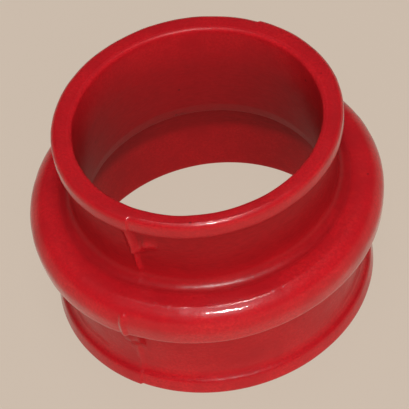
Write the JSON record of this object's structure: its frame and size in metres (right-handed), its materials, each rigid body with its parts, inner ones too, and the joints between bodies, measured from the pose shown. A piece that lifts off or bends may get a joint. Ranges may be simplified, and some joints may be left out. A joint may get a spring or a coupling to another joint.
{
  "type": "grooved concentric reducer",
  "caption": "Short cast-iron pipe reducer with a grooved, lipped end on each side of a rounded middle shoulder, a stepped through bore and glossy red enamel.",
  "frame": {"origin": "on the axis, in the plane of the large end's face, on which the fitting stands", "axes": "+Z along the axis from the large end to the small end; +X to the right of the parting line's front seam, which lies at azimuth -122 degrees"},
  "size_m": [0.0962, 0.0954, 0.062],
  "materials": {
    "red_enamel": "gloss"
  },
  "bodies": {
    "root": {"reducer_casting": "red_enamel"}
  },
  "joints": []
}
